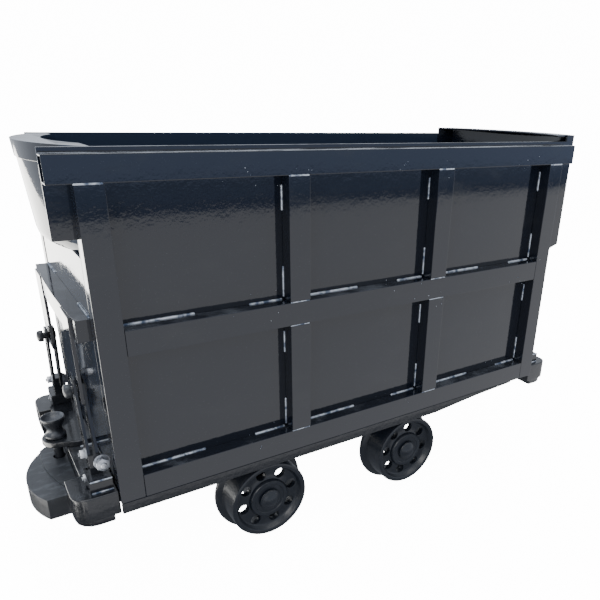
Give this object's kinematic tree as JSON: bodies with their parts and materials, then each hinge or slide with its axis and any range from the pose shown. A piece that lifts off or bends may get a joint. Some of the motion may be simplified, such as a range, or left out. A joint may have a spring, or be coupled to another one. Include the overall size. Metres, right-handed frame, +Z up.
{
  "type": "mine cart",
  "caption": "Steel box mine cart on flanged wheels, with a ribbed tub, bowed end aprons, bumpers and lift-out coupling pins.",
  "frame": {"origin": "on the floor, under the middle of the tub, with the wheels standing on their flanges", "axes": "+X along the rails, +Y across them, +Z up"},
  "size_m": [2.32, 0.84, 1.445],
  "materials": {
    "tub_enamel": "high gloss black enamel",
    "frame_enamel": "gloss black enamel",
    "cast_parts": "satin dark grey paint on castings",
    "bare_steel": "dark turned steel"
  },
  "bodies": {
    "tub_and_frame": {"side_sheet_near": "tub_enamel", "top_rail_near": "tub_enamel", "mid_rail_near": "tub_enamel", "bottom_rail_near": "tub_enamel", "end_post_left_near": "tub_enamel", "lower_rib_left_near": "tub_enamel", "upper_rib_left_near": "tub_enamel", "end_post_right_near": "tub_enamel", "lower_rib_right_near": "tub_enamel", "upper_rib_right_near": "tub_enamel", "sill_near": "frame_enamel", "frame_beam_near": "frame_enamel", "side_sheet_far": "tub_enamel", "top_rail_far": "tub_enamel", "mid_rail_far": "tub_enamel", "bottom_rail_far": "tub_enamel", "end_post_left_far": "tub_enamel", "lower_rib_left_far": "tub_enamel", "upper_rib_left_far": "tub_enamel", "end_post_right_far": "tub_enamel", "lower_rib_right_far": "tub_enamel", "upper_rib_right_far": "tub_enamel", "sill_far": "frame_enamel", "frame_beam_far": "frame_enamel", "floor_plate": "tub_enamel", "end_wall_left": "tub_enamel", "apron_left": "tub_enamel", "end_shelf_left": "tub_enamel", "headstock_left": "frame_enamel", "foot_plate_left": "frame_enamel", "bumper_left": "cast_parts", "tongue_left": "frame_enamel", "tie_fork_left_near": "frame_enamel", "tie_fork_left_far": "frame_enamel", "axle_left": "bare_steel", "axle_seat_left_near": "frame_enamel", "axle_seat_left_far": "frame_enamel", "end_wall_right": "tub_enamel", "apron_right": "tub_enamel", "end_shelf_right": "tub_enamel", "headstock_right": "frame_enamel", "foot_plate_right": "frame_enamel", "bumper_right": "cast_parts", "tongue_right": "frame_enamel", "tie_fork_right_near": "frame_enamel", "tie_fork_right_far": "frame_enamel", "axle_right": "bare_steel", "axle_seat_right_near": "frame_enamel", "axle_seat_right_far": "frame_enamel"},
    "wheel_left_near_set": {"wheel_left_near": "cast_parts", "hub_cap_left_near": "cast_parts"},
    "wheel_left_far_set": {"wheel_left_far": "cast_parts", "hub_cap_left_far": "cast_parts"},
    "wheel_right_near_set": {"wheel_right_near": "cast_parts", "hub_cap_right_near": "cast_parts"},
    "wheel_right_far_set": {"wheel_right_far": "cast_parts", "hub_cap_right_far": "cast_parts"},
    "pin_left": {"coupling_pin_left": "bare_steel"},
    "pin_right": {"coupling_pin_right": "bare_steel"}
  },
  "joints": [
    {"name": "wheel_left_near_spin", "type": "hinge", "parent": "tub_and_frame", "child": "wheel_left_near_set", "pos_m": [-0.414, -0.33, 0.175], "axis": [0, 1, 0], "continuous": true},
    {"name": "wheel_left_far_spin", "type": "hinge", "parent": "tub_and_frame", "child": "wheel_left_far_set", "pos_m": [-0.414, 0.33, 0.175], "axis": [0, 1, 0], "continuous": true},
    {"name": "wheel_right_near_spin", "type": "hinge", "parent": "tub_and_frame", "child": "wheel_right_near_set", "pos_m": [0.236, -0.33, 0.175], "axis": [0, 1, 0], "continuous": true},
    {"name": "wheel_right_far_spin", "type": "hinge", "parent": "tub_and_frame", "child": "wheel_right_far_set", "pos_m": [0.236, 0.33, 0.175], "axis": [0, 1, 0], "continuous": true},
    {"name": "pin_left_lift", "type": "slide", "parent": "tub_and_frame", "child": "pin_left", "axis": [0, 0, 1], "range_m": [0, 0.16]},
    {"name": "pin_right_lift", "type": "slide", "parent": "tub_and_frame", "child": "pin_right", "axis": [0, 0, 1], "range_m": [0, 0.16]}
  ]
}
